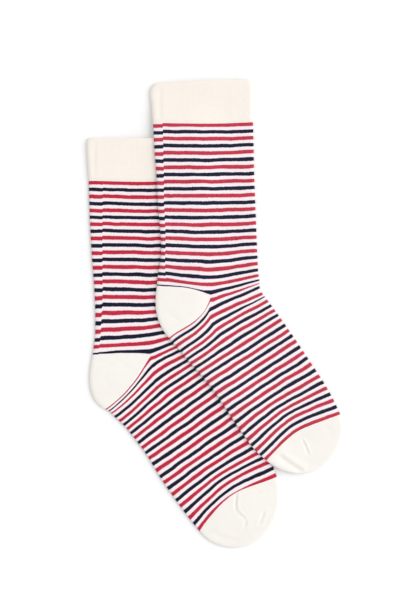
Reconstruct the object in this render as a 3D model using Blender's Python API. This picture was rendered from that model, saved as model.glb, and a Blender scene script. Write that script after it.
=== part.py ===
"""A pair of striped crew socks laid flat, the upper sock resting partly on the under sock.

Each sock is five knitted pieces: cuff, leg, heel, foot and toe. Every piece is a real wall of cloth
around a flat hollow. Lengths here are in millimetres and become metres when a mesh is made.
The frame is +Z up with the floor at 0, +Y from the toes towards the cuffs, +X towards the toe side.
"""
import bpy
import bmesh
import numpy as np

# ---------------------------------------------------------------- driving dimensions (mm)
MM = 0.001                # one millimetre in metres
CLOTH_WALL = 1.15         # one layer of the knitted leg, heel, foot and toe
CUFF_WALL = 1.5           # one side of the cuff: the welt is two layers of knit
HOLLOW = 0.5              # space left between the two sides of a flat sock
FOLD_REACH = 2.0          # how far in from an edge the cloth turns over
HOLLOW_REACH = 0.6        # the same turn on the inside
SEAM_GAP = 0.3            # between pieces, and between the socks where one lies on the other
DRAPE_START = 22.0        # the upper sock leaves the floor this far outside the under sock
DRAPE_END = 7.0           # and is at its full height this far outside it
CUFF_EASE = 12.0          # length over which the upper sock comes down off the thicker cuff
LINE_POINTS = 81          # points along a course before it is shared out to the mesh

# A course is one round of knitting, seen flat as a line from the back edge to the front edge.
# Courses are counted in stripes: 1 is the first red stripe under the cuff, 24 the navy one on the
# heel, 25 the red one under the heel and 49 the last red one, at the toe. Each line runs from its
# back point (the sole, on the foot) through a knee to its front point. Softness says how gently
# it bends at the knee, and bow how far its back half swells towards the toe: most in the middle
# where lean is 1, and nearer the knee where it is more.
COLUMNS = ("course", "back_x", "back_y", "knee_x", "knee_y", "front_x", "front_y", "softness", "bow",
           "lean")

UPPER_CUFF = (
    (-4.95, -54.6, 207.0, -12.0, 209.7, 31.6, 210.3, 0.6, 0.0, 1.0),
    (-4.55, -57.4, 204.0, -10.0, 206.6, 33.3, 207.2, 0.6, 0.0, 1.0),
    (-4.10, -58.4, 201.2, -8.0, 203.2, 33.7, 204.0, 0.6, 0.0, 1.0),
    (-2.00, -57.6, 188.6, -4.0, 189.2, 33.8, 190.8, 0.6, 0.0, 1.0),
    (0.75, -56.0, 171.7, -4.0, 170.1, 34.0, 172.6, 0.6, 0.0, 1.0),
)
UPPER_LEG = (
    (0.75, -56.0, 171.7, -4.0, 170.1, 34.0, 172.6, 0.6, 0.0, 1.0),
    (4.00, -55.0, 151.6, -4.0, 150.1, 34.5, 152.4, 0.6, 0.0, 1.0),
    (8.00, -53.0, 125.1, -4.0, 124.8, 35.0, 126.6, 0.6, 0.0, 1.0),
    (12.00, -51.8, 99.6, -4.0, 98.8, 36.0, 100.9, 0.6, 0.0, 1.0),
    (16.00, -49.6, 74.5, -4.0, 72.7, 37.0, 75.3, 0.5, 0.0, 1.0),
    (18.00, -48.8, 62.0, -4.0, 59.0, 37.4, 63.2, 0.45, 0.0, 1.0),
    (20.00, -49.2, 49.3, -4.0, 45.2, 38.0, 51.2, 0.4, 0.0, 1.0),
    (22.00, -51.2, 37.2, -4.0, 31.1, 38.5, 39.7, 0.3, 0.0, 1.0),
    (23.00, -52.0, 31.3, -4.0, 24.9, 39.0, 34.6, 0.2, 0.0, 1.2),
    (24.50, -52.4, 25.3, -4.5, 15.6, 40.0, 28.6, 0.05, -3.4, 1.6),
)
UPPER_FOOT = (
    (24.50, -41.6, -21.6, -4.5, 15.6, 40.0, 28.6, 0.10, 5.8, 1.7),
    (26.00, -38.3, -26.1, -6.0, 4.4, 40.0, 24.0, 0.19, 4.2, 1.7),
    (27.00, -34.9, -29.6, -5.8, -2.1, 42.5, 18.0, 0.24, 3.0, 1.7),
    (28.00, -31.3, -33.7, -3.3, -8.8, 44.5, 15.5, 0.28, 2.0, 1.7),
    (30.00, -25.5, -41.0, 3.4, -18.4, 50.5, 7.6, 0.36, 0.9, 1.5),
    (33.00, -14.8, -52.8, 22.0, -29.2, 59.7, -5.3, 0.40, 0.0, 1.5),
    (36.00, -3.2, -66.7, 29.8, -45.5, 69.6, -19.4, 0.40, 0.0, 1.0),
    (40.00, 10.5, -87.0, 46.3, -62.7, 83.2, -39.7, 0.40, 0.0, 1.0),
    (44.00, 25.0, -108.5, 56.5, -82.3, 97.5, -61.5, 0.30, 0.0, 1.0),
    (47.00, 35.9, -122.8, 68.2, -92.9, 106.5, -77.5, 0.22, 0.0, 1.0),
    (49.30, 45.8, -132.0, 74.0, -104.6, 112.6, -90.6, 0.14, -0.7, 1.0),
)
UNDER_CUFF = (
    (-4.95, -114.6, 157.4, -66.0, 157.5, -23.4, 157.3, 0.6, 0.0, 1.0),
    (-4.55, -115.8, 154.8, -66.0, 154.9, -22.6, 154.8, 0.6, 0.0, 1.0),
    (-4.10, -115.8, 152.0, -65.0, 151.9, -22.5, 152.1, 0.6, 0.0, 1.0),
    (-2.00, -115.2, 138.2, -64.0, 137.4, -22.5, 138.4, 0.6, 0.0, 1.0),
    (0.75, -114.0, 119.9, -63.0, 118.0, -22.5, 120.0, 0.6, 0.0, 1.0),
)
UNDER_LEG = (
    (0.75, -114.0, 119.9, -63.0, 118.0, -22.5, 120.0, 0.6, 0.0, 1.0),
    (4.00, -113.5, 100.2, -63.0, 97.5, -22.5, 99.8, 0.6, 0.0, 1.0),
    (8.00, -112.5, 74.9, -63.0, 73.1, -22.0, 75.0, 0.6, -0.4, 1.0),
    (12.00, -111.0, 49.2, -61.5, 47.3, -21.0, 49.4, 0.6, -0.4, 1.0),
    (16.00, -109.0, 22.5, -61.5, 20.5, -20.0, 23.4, 0.5, -0.5, 1.0),
    (20.00, -108.0, -7.1, -61.5, -7.2, -19.0, 1.7, 0.4, -0.5, 1.0),
    (22.00, -108.5, -22.3, -60.5, -20.6, -18.5, -9.3, 0.3, 0.0, 1.0),
    (23.00, -109.5, -29.1, -59.5, -27.2, -18.0, -14.6, 0.2, 0.0, 1.2),
    (24.50, -110.4, -36.8, -58.7, -37.4, -17.2, -20.3, 0.05, -1.7, 1.5),
)
UNDER_FOOT = (
    (24.50, -99.4, -85.9, -58.7, -37.4, -17.2, -20.3, 0.10, 4.2, 0.9),
    (26.00, -94.9, -88.3, -57.9, -46.1, -17.0, -25.5, 0.20, 3.4, 0.9),
    (27.00, -93.0, -90.2, -56.4, -52.1, -15.6, -31.0, 0.24, 2.8, 0.9),
    (28.00, -90.2, -93.2, -54.9, -59.6, -13.2, -34.6, 0.28, 1.8, 0.9),
    (30.00, -82.7, -100.1, -50.1, -69.8, -7.6, -43.0, 0.36, 0.8, 0.9),
    (33.00, -72.9, -112.1, -35.7, -82.4, 1.8, -57.0, 0.40, 0.0, 1.0),
    (36.00, -62.9, -125.5, -28.1, -100.9, 12.1, -71.9, 0.40, 0.0, 1.0),
    (40.00, -50.0, -146.8, -10.5, -118.7, 26.5, -94.0, 0.40, 0.0, 1.0),
    (44.00, -35.4, -168.2, -3.3, -142.1, 40.0, -117.0, 0.30, 0.0, 1.0),
    (47.00, -23.7, -184.1, 9.0, -151.3, 49.9, -132.7, 0.22, 0.0, 1.0),
    (49.30, -14.1, -195.9, 17.0, -160.4, 55.6, -147.2, 0.14, -1.6, 1.0),
)

# The heel turns from the leg's back edge to the sole, and the toe from the instep to the sole, each
# on one smooth curve between the pieces' end points. These are the curves' two inner handles.
UPPER_HEEL_TURN = ((-55.3, 8.5), (-54.1, -8.0))
UPPER_TOE_TURN = ((126.3, -123.5), (85.8, -163.9))
UNDER_HEEL_TURN = ((-114.1, -51.8), (-117.3, -77.0))
UNDER_TOE_TURN = ((70.9, -204.7), (11.8, -228.7))

# Where the meshes have their sections, in stripes, and how many rays the heel and toe have.
CUFF_SECTIONS = (-4.95, -4.55, -4.10, -2.00, 0.75)
LEG_SECTIONS = (0.75, 3.5, 6.5, 9.5, 12.5, 15.5, 17.5, 19.5, 21.5, 23.0, 24.5)
FOOT_SECTIONS = (24.5, 25.3, 26.0, 27.0, 28.0, 30.0, 33.0, 36.0, 39.0, 42.0, 44.5, 46.5, 48.0, 49.3)
HEEL_RAYS = 8
TOE_RAYS = 13
UPPER_INNER_STATIONS = 8  # points between the folds of a section, each side of the sock
UNDER_INNER_STATIONS = 6

CREAM = (0.93, 0.88, 0.79)
STRIPE_MIX = (0.52, 0.29, 0.35)


# ---------------------------------------------------------------- course lines
def course_row(table, course):
    """The table's columns at any course, on a smooth curve through its rows."""
    rows = np.array(table)
    courses = rows[:, 0]
    slopes = np.gradient(rows, courses, axis=0)
    i = int(np.clip(np.searchsorted(courses, course) - 1, 0, len(courses) - 2))
    step = courses[i + 1] - courses[i]
    s = (course - courses[i]) / step
    values = ((2 * s**3 - 3 * s**2 + 1) * rows[i] + (s**3 - 2 * s**2 + s) * step * slopes[i]
              + (3 * s**2 - 2 * s**3) * rows[i + 1] + (s**3 - s**2) * step * slopes[i + 1])
    return dict(zip(COLUMNS, values))


def course_line(table, course, shift_back=0.0, shift_front=0.0):
    """Points of a course from back to front, and the index of its knee.

    A shift moves the line square to itself, towards the toe where positive: it leaves the seam gap.
    """
    row = course_row(table, course)
    back = np.array((row["back_x"], row["back_y"]))
    knee = np.array((row["knee_x"], row["knee_y"]))
    front = np.array((row["front_x"], row["front_y"]))
    back_length = np.linalg.norm(knee - back)
    knee_at = back_length / (back_length + np.linalg.norm(front - knee))
    knee_index = int(round(knee_at * (LINE_POINTS - 1)))
    t = np.concatenate((np.linspace(0, knee_at, knee_index + 1),
                        np.linspace(knee_at, 1, LINE_POINTS - knee_index)[1:]))

    def bend(x):
        """Zero before the knee and x after it, rounded over the softness."""
        return 0.5 * (x + np.sqrt(x * x + 0.25 * row["softness"]**2))

    turn = bend(t - knee_at) - bend(-knee_at) * (1 - t) - (bend(1 - knee_at) - (1 - knee_at)) * t
    back_run = (knee - back) / knee_at
    front_run = (front - knee) / (1 - knee_at)
    line = back + np.outer(t, back_run) + np.outer(turn, front_run - back_run)
    square = np.array((knee[1] - back[1], back[0] - knee[0])) / back_length
    along_back = np.clip(t / knee_at, 0, 1)
    peak = row["lean"] / (row["lean"] + 1)
    bow = along_back**row["lean"] * (1 - along_back) / (peak**row["lean"] * (1 - peak))
    line = line + np.outer(row["bow"] * bow, square)
    shift = np.interp(t, (knee_at, min(knee_at + 0.1, 1)), (shift_back, shift_front))
    return line + square_to(line) * shift[:, None], knee_index


def square_to(line):
    """Unit directions square to a line, towards the toe for one that runs from back to front."""
    run = np.gradient(line, axis=0)
    run /= np.linalg.norm(run, axis=1)[:, None]
    return np.column_stack((run[:, 1], -run[:, 0]))


def along(line, distances):
    """Points at given distances along a line."""
    steps = np.linalg.norm(np.diff(line, axis=0), axis=1)
    length = np.concatenate(((0,), np.cumsum(steps)))
    return np.column_stack([np.interp(distances, length, line[:, axis]) for axis in (0, 1)])


def line_length(line):
    return np.linalg.norm(np.diff(line, axis=0), axis=1).sum()


def turn_curve(start, handles, end, count):
    """A smooth curve from start to end, drawn towards its two handles."""
    t = np.linspace(0, 1, count)[:, None]
    points = np.array((start, handles[0], handles[1], end))
    return ((1 - t)**3 * points[0] + 3 * t * (1 - t)**2 * points[1]
            + 3 * t**2 * (1 - t) * points[2] + t**3 * points[3])


# ---------------------------------------------------------------- flat sock sections
def fold_stations(wall, inside):
    """Distances in from an edge, and heights off the middle layer, where the cloth turns over."""
    half = HOLLOW / 2 if inside else HOLLOW / 2 + wall
    reach = HOLLOW_REACH if inside else FOLD_REACH
    turn = np.radians((0, 45, 90))
    distances = reach * (1 - np.cos(turn)) + (wall if inside else 0)
    return distances, half * np.sin(turn)


def section_stations(length, wall, inside, count):
    """Distances and heights across a whole section, from the back fold to the front fold."""
    near, rise = fold_stations(wall, inside)
    middle = np.linspace(FOLD_REACH, length - FOLD_REACH, count + 2)[1:-1]
    distances = np.concatenate((near, middle, length - near[::-1]))
    heights = np.concatenate((rise, np.full(count, rise[-1]), rise[::-1]))
    return distances, heights


def section_loop(line, wall, inside, count, floor):
    """A closed loop around the flat sock: the upper side from back to front, then underneath."""
    distances, heights = section_stations(line_length(line), wall, inside, count)
    plan = along(line, distances)
    middle = floor(plan) + HOLLOW / 2 + wall
    over = np.column_stack((plan, middle + heights))
    under = np.column_stack((plan, middle - heights))
    return np.concatenate((over, under[-2:0:-1]))


def ray_path(line, wall, inside, count, floor):
    """A ray of a pocket: out along the upper side, around the fold and back underneath."""
    length = line_length(line)
    near, rise = fold_stations(wall, inside)
    out = np.linspace(0, length - FOLD_REACH, count + 2)[:-1]
    distances = np.concatenate((out, length - near[::-1]))
    heights = np.concatenate((np.full(count + 1, rise[-1]), rise[::-1]))
    plan = along(line, distances)
    middle = floor(plan) + HOLLOW / 2 + wall
    over = np.column_stack((plan, middle + heights))
    under = np.column_stack((plan, middle - heights))
    return np.concatenate((over, under[-2::-1]))


def pocket_rays(first, last, outline, count):
    """Lines from a pocket's gore point to its outline, fanned between its two bounding lines."""
    rays = []
    for a, rim in zip(np.linspace(0, 1, count), outline):
        s = np.linspace(0, 1, len(first))[:, None]
        first_even = along(first, s[:, 0] * line_length(first))
        last_even = along(last, s[:, 0] * line_length(last))
        rays.append((1 - a) * first_even + a * last_even
                    + s * (rim - (1 - a) * first[-1] - a * last[-1]))
    return rays


# ---------------------------------------------------------------- the two socks
def sock_outline(sock):
    """The flat sock's outline, as one closed ring of points."""
    back = [course_line(sock["leg"], c)[0][0] for c in np.linspace(0.75, 24.5, 20)]
    sole = [course_line(sock["foot"], c)[0][0] for c in np.linspace(24.5, 49.3, 24)]
    instep = [course_line(sock["foot"], c)[0][-1] for c in np.linspace(49.3, 24.5, 24)]
    front = [course_line(sock["leg"], c)[0][-1] for c in np.linspace(24.5, 0.75, 20)]
    cuff_back = [course_line(sock["cuff"], c)[0][0] for c in CUFF_SECTIONS]
    cuff_front = [course_line(sock["cuff"], c)[0][-1] for c in CUFF_SECTIONS]
    heel = turn_curve(back[-1], sock["heel_turn"], sole[0], 12)[1:-1]
    toe = turn_curve(instep[0], sock["toe_turn"], sole[-1], 20)[-2:0:-1]
    return np.array((*cuff_back, *back, *heel, *sole, *toe, *instep, *front, *cuff_front[::-1]))


def depth_inside(points, ring):
    """How far each point is inside a closed ring, negative outside it."""
    starts = ring[None, :, :]
    runs = np.roll(ring, -1, axis=0)[None, :, :] - starts
    offsets = points[:, None, :] - starts
    lengths = np.maximum((runs**2).sum(axis=2), 1e-9)
    share = np.clip((offsets * runs).sum(axis=2) / lengths, 0, 1)
    nearest = np.linalg.norm(offsets - share[:, :, None] * runs, axis=2).min(axis=1)
    above = offsets[:, :, 1] < 0
    crosses = above != (offsets[:, :, 1] - runs[:, :, 1] < 0)
    side = offsets[:, :, 0] * runs[:, :, 1] - offsets[:, :, 1] * runs[:, :, 0]
    hits = crosses & ((side < 0) == (runs[:, :, 1] > 0))
    return np.where(hits.sum(axis=1) % 2 == 1, nearest, -nearest)


def ease(x):
    """A smooth step from 0 to 1."""
    x = np.clip(x, 0, 1)
    return x * x * (3 - 2 * x)


def flat_floor(points):
    """The floor itself, under the under sock."""
    return np.zeros(len(points))


def draped_floor(points):
    """Height of the cloth's underside where the upper sock lies on the under sock or the floor."""
    depth = depth_inside(points, UNDER_RING)
    cuff_edge = UNDER_CUFF[-1][2]
    on_cuff = ease((points[:, 1] - cuff_edge + CUFF_EASE) / CUFF_EASE)
    wall = CLOTH_WALL + (CUFF_WALL - CLOTH_WALL) * on_cuff
    full = HOLLOW + 2 * wall + SEAM_GAP
    return full * ease((depth + DRAPE_START) / (DRAPE_START - DRAPE_END))


UNDER_SOCK = dict(name="under_sock", cuff=UNDER_CUFF, leg=UNDER_LEG, foot=UNDER_FOOT,
                  heel_turn=UNDER_HEEL_TURN, toe_turn=UNDER_TOE_TURN,
                  count=UNDER_INNER_STATIONS, floor=flat_floor)
UPPER_SOCK = dict(name="upper_sock", cuff=UPPER_CUFF, leg=UPPER_LEG, foot=UPPER_FOOT,
                  heel_turn=UPPER_HEEL_TURN, toe_turn=UPPER_TOE_TURN,
                  count=UPPER_INNER_STATIONS, floor=draped_floor)
UNDER_RING = sock_outline(UNDER_SOCK)


# ---------------------------------------------------------------- meshes
def knit_material(name, colour):
    material = bpy.data.materials.new(name)
    material.use_nodes = True
    shader = material.node_tree.nodes["Principled BSDF"]
    shader.inputs["Base Color"].default_value = (*colour, 1.0)
    shader.inputs["Roughness"].default_value = 0.9
    shader.inputs["Metallic"].default_value = 0.0
    return material


def cloth_piece(name, outer, inner, closed, colour):
    """A wall of cloth between an outer and an inner grid of points, closed along its edges."""
    rows = len(outer)
    columns = len(outer[0])
    mesh = bmesh.new()
    sides = []
    for grid in (outer, inner):
        sides.append([[mesh.verts.new(np.array(point) * MM) for point in row] for row in grid])
    last = columns if closed else columns - 1
    for i in range(rows - 1):
        for j in range(last):
            k = (j + 1) % columns
            for grid in sides:
                mesh.faces.new((grid[i][j], grid[i][k], grid[i + 1][k], grid[i + 1][j]))
    out, into = sides
    for i in (0, rows - 1):
        for j in range(last):
            k = (j + 1) % columns
            mesh.faces.new((out[i][j], out[i][k], into[i][k], into[i][j]))
    if not closed:
        for j in (0, columns - 1):
            for i in range(rows - 1):
                mesh.faces.new((out[i][j], out[i + 1][j], into[i + 1][j], into[i][j]))
    bmesh.ops.remove_doubles(mesh, verts=mesh.verts[:], dist=1e-6)
    bmesh.ops.recalc_face_normals(mesh, faces=mesh.faces[:])
    data = bpy.data.meshes.new(name)
    mesh.to_mesh(data)
    mesh.free()
    data.shade_smooth()
    data.set_sharp_from_angle(angle=np.radians(50))
    piece = bpy.data.objects.new(name, data)
    data.materials.append(knit_material(name, colour))
    bpy.context.scene.collection.objects.link(piece)
    return piece


def tube_piece(sock, part, courses, wall, colour, gap_first=0.0, gap_last=(0.0, 0.0)):
    """A stretch of flat tube through the courses given, short of its neighbours by the gaps."""
    loops = {False: [], True: []}
    for course in courses:
        shift = (0.0, 0.0)
        if course == courses[0]:
            shift = (gap_first, gap_first)
        if course == courses[-1]:
            shift = (-gap_last[0], -gap_last[1])
        line, _ = course_line(sock[part], course, *shift)
        for inside in loops:
            loops[inside].append(section_loop(line, wall, inside, sock["count"], sock["floor"]))
    return cloth_piece(f"{sock['name']}_{part}", loops[False], loops[True], True, colour)


def pocket_piece(sock, part, first, last, outline, count):
    """A heel or toe pocket: a fan of rays on both sides, joined around the outline."""
    rays = pocket_rays(first, last, outline, count)
    paths = [[ray_path(ray, CLOTH_WALL, inside, sock["count"] // 2, sock["floor"]) for ray in rays]
             for inside in (False, True)]
    return cloth_piece(f"{sock['name']}_{part}", paths[0], paths[1], False, CREAM)


def build_heel(sock):
    top, knee = course_line(sock["leg"], LEG_SECTIONS[-1])
    low, low_knee = course_line(sock["foot"], FOOT_SECTIONS[0])
    first = top[:knee + 1][::-1]
    last = low[:low_knee + 1][::-1]
    last = last + np.outer(np.linspace(1, 0, len(last))**4, first[0] - last[0])
    outline = turn_curve(first[-1], sock["heel_turn"], last[-1], HEEL_RAYS)
    return pocket_piece(sock, "heel", first, last, outline, HEEL_RAYS)


def build_toe(sock):
    rim, knee = course_line(sock["foot"], FOOT_SECTIONS[-1])
    first = rim[knee:]
    last = rim[:knee + 1][::-1]
    outline = turn_curve(first[-1], sock["toe_turn"], last[-1], TOE_RAYS)
    return pocket_piece(sock, "toe", first, last, outline, TOE_RAYS)


def build_sock(sock):
    tube_piece(sock, "cuff", CUFF_SECTIONS, CUFF_WALL, CREAM)
    tube_piece(sock, "leg", LEG_SECTIONS, CLOTH_WALL, STRIPE_MIX,
               gap_first=SEAM_GAP, gap_last=(SEAM_GAP, 0.0))
    tube_piece(sock, "foot", FOOT_SECTIONS, CLOTH_WALL, STRIPE_MIX,
               gap_first=SEAM_GAP, gap_last=(SEAM_GAP, SEAM_GAP))
    build_heel(sock)
    build_toe(sock)


def clear_scene():
    for thing in list(bpy.data.objects):
        bpy.data.objects.remove(thing, do_unlink=True)


def main():
    clear_scene()
    for sock in (UNDER_SOCK, UPPER_SOCK):
        build_sock(sock)


main()
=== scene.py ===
# %% [markdown]
# # A pair of striped crew socks, laid flat
# These socks lie on their sides on a pale table, the upper one resting partly on the one under it.
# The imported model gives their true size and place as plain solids. Here each plain solid is replaced
# by a finely meshed wall of cloth in the same place: the same rounds of knitting, worked out in much
# smaller steps, so that folds can roll over softly and the cloth can take creases.

import bmesh
import bpy
import numpy as np
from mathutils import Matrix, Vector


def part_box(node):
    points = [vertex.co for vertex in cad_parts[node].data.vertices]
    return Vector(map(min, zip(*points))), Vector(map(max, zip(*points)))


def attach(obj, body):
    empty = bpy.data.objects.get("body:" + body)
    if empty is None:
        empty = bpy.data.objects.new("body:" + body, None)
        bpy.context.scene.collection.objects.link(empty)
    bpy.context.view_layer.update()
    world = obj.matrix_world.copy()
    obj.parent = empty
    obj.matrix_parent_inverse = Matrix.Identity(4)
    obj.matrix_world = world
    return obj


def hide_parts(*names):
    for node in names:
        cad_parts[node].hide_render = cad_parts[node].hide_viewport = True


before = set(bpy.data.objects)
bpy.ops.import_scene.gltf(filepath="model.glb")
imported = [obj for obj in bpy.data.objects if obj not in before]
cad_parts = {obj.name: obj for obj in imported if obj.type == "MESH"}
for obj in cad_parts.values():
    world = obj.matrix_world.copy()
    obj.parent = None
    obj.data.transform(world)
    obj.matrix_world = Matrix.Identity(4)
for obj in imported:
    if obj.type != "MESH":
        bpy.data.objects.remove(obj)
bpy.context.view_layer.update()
MM = 0.001  # lengths below are in millimetres, and this makes them metres

print("CAD nodes:", ", ".join(sorted(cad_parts)))

# %% [markdown]
# ## Thickness, read from the frame
# A flat sock is two layers of cloth with a little air between them. The height of a packed leg gives
# both layers and the air; the cuff is thicker, because it is knitted double and folded in.

# %% Thicknesses
HOLLOW = 0.5        # air between the two sides of a flat sock
SEAM_GAP = 0.3      # space between the socks where one lies on the other


def box_mm(node):
    """A node's lowest and highest corners in millimetres."""
    low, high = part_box(node)
    return np.array(low) / MM, np.array(high) / MM


leg_low, leg_high = box_mm("under_sock_leg")
cuff_low, cuff_high = box_mm("under_sock_cuff")
CLOTH_WALL = (leg_high[2] - leg_low[2] - HOLLOW) / 2
CUFF_WALL = (cuff_high[2] - cuff_low[2] - HOLLOW) / 2
print(f"one layer of cloth {CLOTH_WALL:.2f} mm, one side of the cuff {CUFF_WALL:.2f} mm")

# %% [markdown]
# ## Rounds of knitting
# A sock is knitted in rounds, called courses. Laid flat, a course is a line from the back edge of the
# sock to its front edge, bent a little on the way at a knee. A short table of such lines for each part
# is enough, with smooth curves between the rows. Courses are counted in stripes: 1 is the first red
# stripe under the cuff, 24 the navy one above the heel, 25 the red one below it and 49 the last one.

# %% Tables of course lines
COLUMNS = ("course", "back_x", "back_y", "knee_x", "knee_y", "front_x", "front_y", "softness", "bow",
           "lean")

USUAL_END = (0.6, 0, 1)  # softness, bow and lean, where a row leaves them out
CUFF_TOP = -4.95    # course at the mouth
LEG_TOP = 0.75      # where the cuff ends and the stripes begin
HEEL_GAP = 24.5     # where the leg ends, the heel pocket sits and the foot begins
FOOT_END = 49.3     # where the toe pocket begins


def course_table(*rows):
    """Rows of course lines, filled out to all the columns."""
    given = len(COLUMNS) - len(USUAL_END)
    return tuple((*row, *USUAL_END[len(row) - given:]) for row in rows)


UPPER_CUFF = course_table(
    (-4.95, -54.6, 207, -12, 209.7, 31.6, 210.3),
    (-4.55, -57.4, 204, -10, 206.6, 33.3, 207.2),
    (-4.1, -58.4, 201.2, -8, 203.2, 33.7, 204),
    (-2, -57.6, 188.6, -4, 189.2, 33.8, 190.8),
    (0.75, -56, 171.7, -4, 170.1, 34, 172.6),
)
UPPER_LEG = course_table(
    UPPER_CUFF[-1],
    (4, -55, 151.6, -4, 150.1, 34.5, 152.4),
    (8, -53, 125.1, -4, 124.8, 35, 126.6),
    (12, -51.8, 99.6, -4, 98.8, 36, 100.9),
    (16, -49.6, 74.5, -4, 72.7, 37, 75.3, 0.5),
    (18, -48.8, 62, -4, 59, 37.4, 63.2, 0.45),
    (20, -49.2, 49.3, -4, 45.2, 38, 51.2, 0.4),
    (22, -51.2, 37.2, -4, 31.1, 38.5, 39.7, 0.3),
    (23, -52, 31.3, -4, 24.9, 39, 34.6, 0.2, 0, 1.2),
    (24.5, -52.4, 25.3, -4.5, 15.6, 40, 28.6, 0.05, -3.4, 1.6),
)
UPPER_FOOT = course_table(
    (24.5, -41.6, -21.6, -4.5, 15.6, 40, 28.6, 0.1, 5.8, 1.7),
    (26, -38.3, -26.1, -6, 4.4, 40, 24, 0.19, 4.2, 1.7),
    (27, -34.9, -29.6, -5.8, -2.1, 42.5, 18, 0.24, 3, 1.7),
    (28, -31.3, -33.7, -3.3, -8.8, 44.5, 15.5, 0.28, 2, 1.7),
    (30, -25.5, -41, 3.4, -18.4, 50.5, 7.6, 0.36, 0.9, 1.5),
    (33, -14.8, -52.8, 22, -29.2, 59.7, -5.3, 0.4, 0, 1.5),
    (36, -3.2, -66.7, 29.8, -45.5, 69.6, -19.4, 0.4),
    (40, 10.5, -87, 46.3, -62.7, 83.2, -39.7, 0.4),
    (44, 25, -108.5, 56.5, -82.3, 97.5, -61.5, 0.3),
    (47, 35.9, -122.8, 68.2, -92.9, 106.5, -77.5, 0.22),
    (49.3, 45.8, -132, 74, -104.6, 112.6, -90.6, 0.14, -0.7),
)
UNDER_CUFF = course_table(
    (-4.95, -114.6, 157.4, -66, 157.5, -23.4, 157.3),
    (-4.55, -115.8, 154.8, -66, 154.9, -22.6, 154.8),
    (-4.1, -115.8, 152, -65, 151.9, -22.5, 152.1),
    (-2, -115.2, 138.2, -64, 137.4, -22.5, 138.4),
    (0.75, -114, 119.9, -63, 118, -22.5, 120),
)
UNDER_LEG = course_table(
    UNDER_CUFF[-1],
    (4, -113.5, 100.2, -63, 97.5, -22.5, 99.8),
    (8, -112.5, 74.9, -63, 73.1, -22, 75, 0.6, -0.4),
    (12, -111, 49.2, -61.5, 47.3, -21, 49.4, 0.6, -0.4),
    (16, -109, 22.5, -61.5, 20.5, -20, 23.4, 0.5, -0.5),
    (20, -108, -7.1, -61.5, -7.2, -19, 1.7, 0.4, -0.5),
    (22, -108.5, -22.3, -60.5, -20.6, -18.5, -9.3, 0.3),
    (23, -109.5, -29.1, -59.5, -27.2, -18, -14.6, 0.2, 0, 1.2),
    (24.5, -110.4, -36.8, -58.7, -37.4, -17.2, -20.3, 0.05, -1.7, 1.5),
)
UNDER_FOOT = course_table(
    (24.5, -99.4, -85.9, -58.7, -37.4, -17.2, -20.3, 0.1, 4.2, 0.9),
    (26, -94.9, -88.3, -57.9, -46.1, -17, -25.5, 0.2, 3.4, 0.9),
    (27, -93, -90.2, -56.4, -52.1, -15.6, -31, 0.24, 2.8, 0.9),
    (28, -90.2, -93.2, -54.9, -59.6, -13.2, -34.6, 0.28, 1.8, 0.9),
    (30, -82.7, -100.1, -50.1, -69.8, -7.6, -43, 0.36, 0.8, 0.9),
    (33, -72.9, -112.1, -35.7, -82.4, 1.8, -57, 0.4),
    (36, -62.9, -125.5, -28.1, -100.9, 12.1, -71.9, 0.4),
    (40, -50, -146.8, -10.5, -118.7, 26.5, -94, 0.4),
    (44, -35.4, -168.2, -3.3, -142.1, 40, -117, 0.3),
    (47, -23.7, -184.1, 9, -151.3, 49.9, -132.7, 0.22),
    (49.3, -14.1, -195.9, 17, -160.4, 55.6, -147.2, 0.14, -1.6),
)

# %% [markdown]
# ## From a table row to a line
# The rows are joined with Hermite curves, which pass through every row without corners. A line runs
# straight to its knee and straight on, with the bend rounded by its softness; bow swells the back half
# of a line, where the heel has pulled the rounds below it into an arc, and lean says where it swells
# most: halfway where it is 1, and nearer the knee where it is more.

# %% A course as a line of points
LINE_POINTS = 241   # points along a course before it is shared out to the mesh


def course_row(table, course):
    """The table's columns at any course, on a smooth curve through its rows."""
    rows = np.array(table)
    courses = rows[:, 0]
    slopes = np.gradient(rows, courses, axis=0)
    i = int(np.clip(np.searchsorted(courses, course) - 1, 0, len(courses) - 2))
    step = courses[i + 1] - courses[i]
    s = (course - courses[i]) / step
    values = ((2 * s**3 - 3 * s**2 + 1) * rows[i] + (s**3 - 2 * s**2 + s) * step * slopes[i]
              + (3 * s**2 - 2 * s**3) * rows[i + 1] + (s**3 - s**2) * step * slopes[i + 1])
    return dict(zip(COLUMNS, values))


def course_line(table, course):
    """Points of a course from back to front, and the index of its knee."""
    row = course_row(table, course)
    back = np.array((row["back_x"], row["back_y"]))
    knee = np.array((row["knee_x"], row["knee_y"]))
    front = np.array((row["front_x"], row["front_y"]))
    back_length = np.linalg.norm(knee - back)
    knee_at = back_length / (back_length + np.linalg.norm(front - knee))
    knee_index = int(round(knee_at * (LINE_POINTS - 1)))
    t = np.concatenate((np.linspace(0, knee_at, knee_index + 1),
                        np.linspace(knee_at, 1, LINE_POINTS - knee_index)[1:]))

    def bend(x):
        """Zero before the knee and x after it, rounded over the softness."""
        return 0.5 * (x + np.sqrt(x * x + 0.25 * row["softness"]**2))

    turn = bend(t - knee_at) - bend(-knee_at) * (1 - t) - (bend(1 - knee_at) - (1 - knee_at)) * t
    back_run = (knee - back) / knee_at
    front_run = (front - knee) / (1 - knee_at)
    line = back + np.outer(t, back_run) + np.outer(turn, front_run - back_run)
    square = np.array((knee[1] - back[1], back[0] - knee[0])) / back_length
    along_back = np.clip(t / knee_at, 0, 1)
    peak = row["lean"] / (row["lean"] + 1)
    bow = along_back**row["lean"] * (1 - along_back) / (peak**row["lean"] * (1 - peak))
    return line + np.outer(row["bow"] * bow, square), knee_index


def distances_along(line):
    """How far along a line each of its points is."""
    return np.concatenate(((0,), np.cumsum(np.linalg.norm(np.diff(line, axis=0), axis=1))))


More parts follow.
